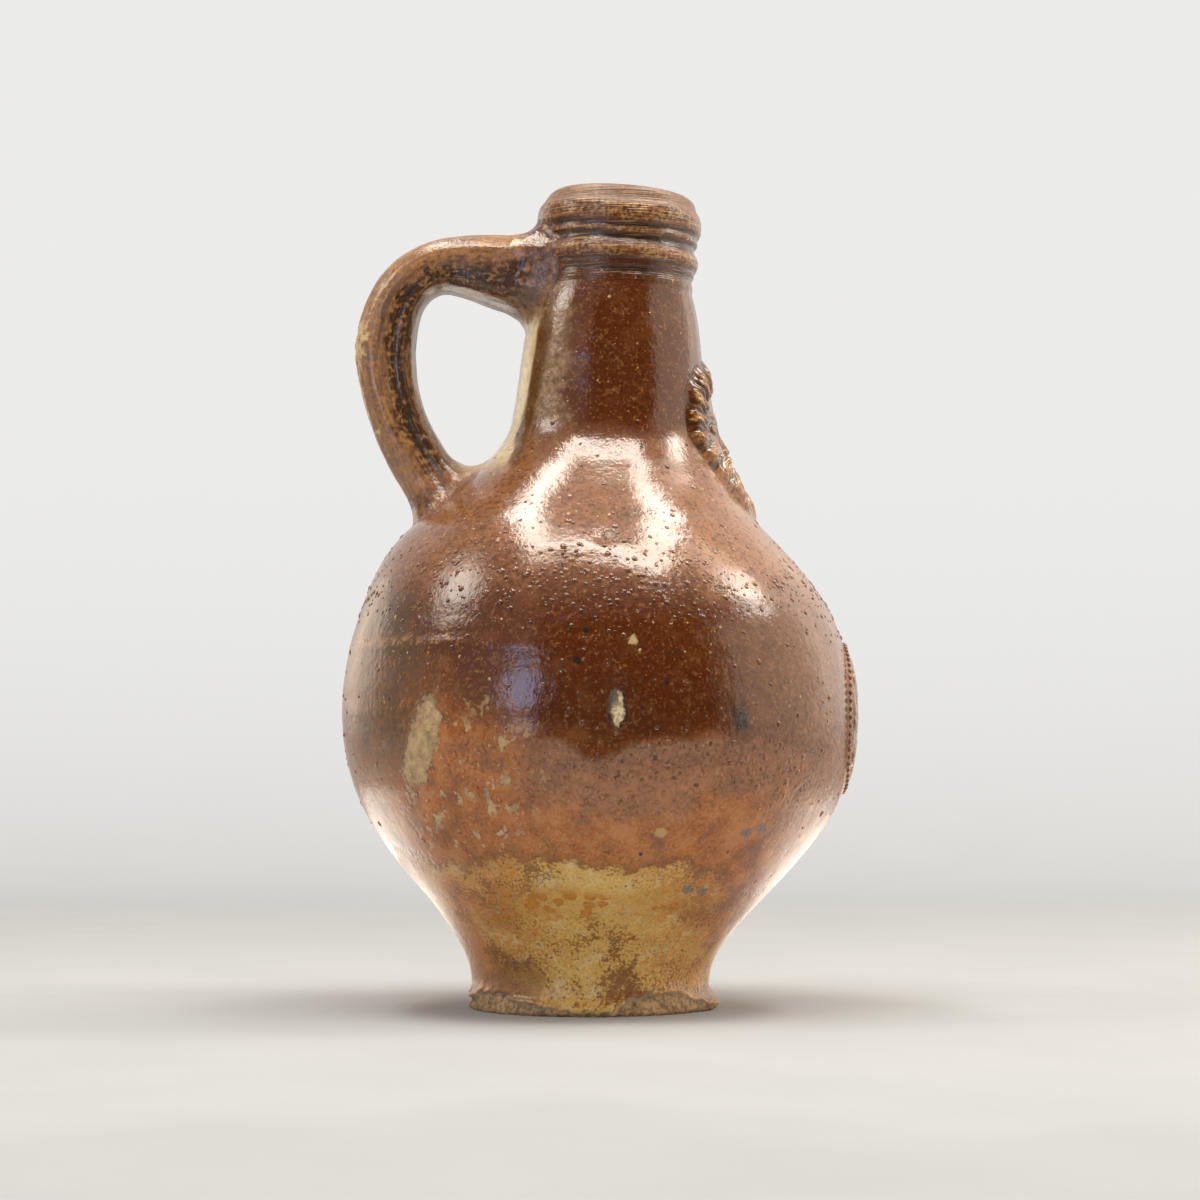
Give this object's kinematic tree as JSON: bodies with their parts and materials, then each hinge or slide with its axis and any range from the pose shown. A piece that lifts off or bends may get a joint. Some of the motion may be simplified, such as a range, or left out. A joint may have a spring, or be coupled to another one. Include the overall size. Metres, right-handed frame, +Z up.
{
  "type": "stoneware bottle-jug",
  "caption": "Round-bellied salt-glazed stoneware bottle-jug with a narrow neck, strap handle, bearded mask on the neck and a beaded medallion on the belly; holds and pours drink.",
  "frame": {"origin": "centre of the foot's underside, on the surface the jug stands on", "axes": "+Z up, +X towards the bearded mask and medallion, -X towards the handle, Y across"},
  "size_m": [0.1333, 0.1312, 0.2098],
  "materials": {
    "vessel_glaze": "glossy mottled brown salt glaze, tan below the wash line",
    "handle_glaze": "streaked dark brown salt glaze",
    "lute_glaze": "mottled brown salt glaze, wiped smooth",
    "relief_glaze": "brown salt glaze, thin and lighter on the raised parts"
  },
  "bodies": {
    "root": {"vessel": "vessel_glaze", "handle": "handle_glaze", "upper_luting_clay": "lute_glaze", "lower_luting_clay": "lute_glaze", "bearded_mask": "relief_glaze", "belly_medallion": "relief_glaze"}
  },
  "joints": []
}
